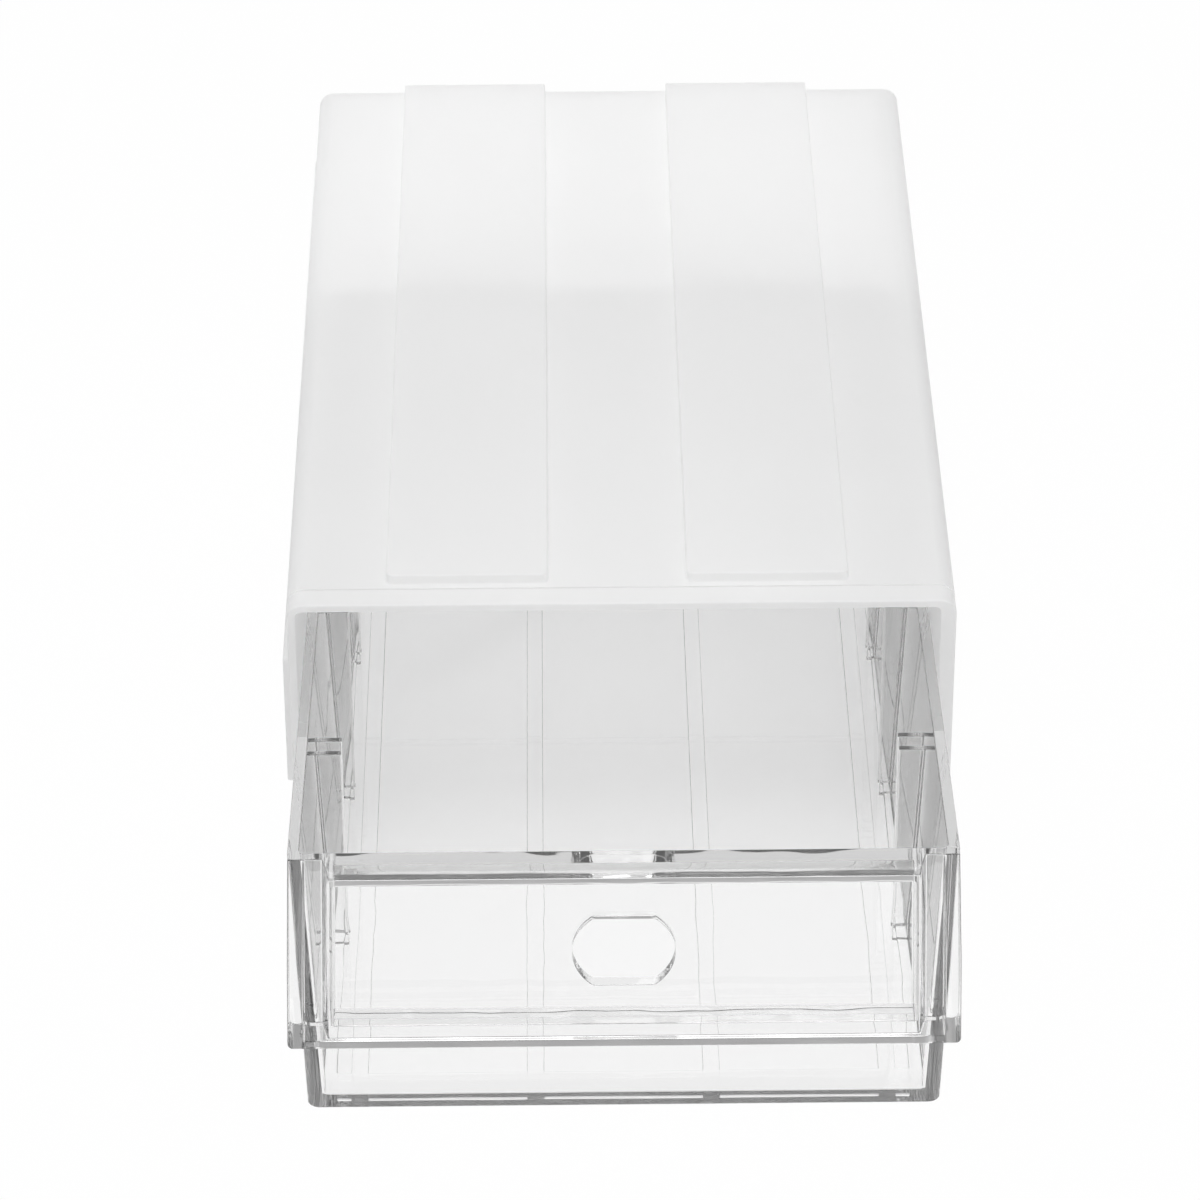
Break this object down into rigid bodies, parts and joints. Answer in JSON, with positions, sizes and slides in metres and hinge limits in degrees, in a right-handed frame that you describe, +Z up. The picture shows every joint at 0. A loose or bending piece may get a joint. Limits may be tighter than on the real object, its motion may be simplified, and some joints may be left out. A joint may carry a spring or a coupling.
{
  "type": "stackable drawer box",
  "caption": "Flat desktop drawer box: a white outer shell with stacking rails and grooves, and a clear sliding drawer with divider guides and a framed finger-hole front.",
  "frame": {"origin": "in the flat underside of the shell, on the drawer's centre plane and halfway along the shell", "axes": "+Z up, +Y from the drawer's front to the back, +X to the right seen from the front"},
  "size_m": [0.1214, 0.2679, 0.0618],
  "materials": {
    "white_polypropylene": "moulded white polypropylene, fine satin",
    "clear_polystyrene": "moulded crystal polystyrene, clear and glossy"
  },
  "bodies": {
    "shell": {"outer_shell": "white_polypropylene"},
    "sliding_drawer": {"drawer": "clear_polystyrene"}
  },
  "joints": [
    {"name": "drawer_slide", "type": "slide", "parent": "shell", "child": "sliding_drawer", "axis": [0, -1, 0], "range_m": [-0.078, 0.07]}
  ]
}
